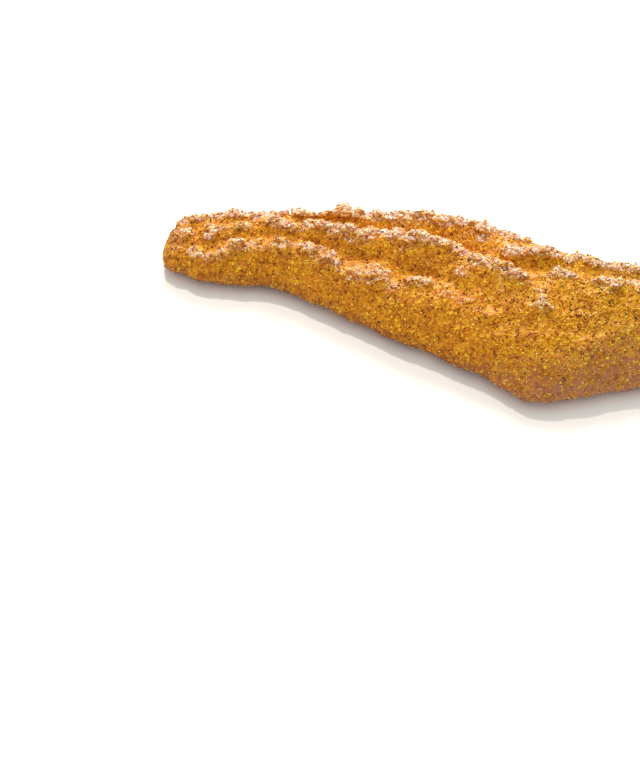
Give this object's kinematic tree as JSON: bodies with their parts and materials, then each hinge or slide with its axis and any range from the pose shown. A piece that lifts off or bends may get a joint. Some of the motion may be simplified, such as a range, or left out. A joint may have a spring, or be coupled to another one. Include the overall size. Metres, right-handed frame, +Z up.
{
  "type": "fried fish fillet",
  "caption": "Long breaded fish fillet, deep-fried in a craggy golden cornmeal crust, narrow at the tail and broad at the head end, with ridges along its top; lies flat.",
  "frame": {"origin": "middle of the fillet's footprint, on the surface that it lies on", "axes": "+X along the fillet, from its narrow tail end to its broad head end; +Y towards its thick back edge, away from the broad smooth face; +Z up"},
  "size_m": [0.244, 0.0924, 0.029],
  "materials": {
    "fried_crust": "rough golden brown fried cornmeal breading with a thin film of oil"
  },
  "bodies": {
    "root": {"fillet": "fried_crust"}
  },
  "joints": []
}
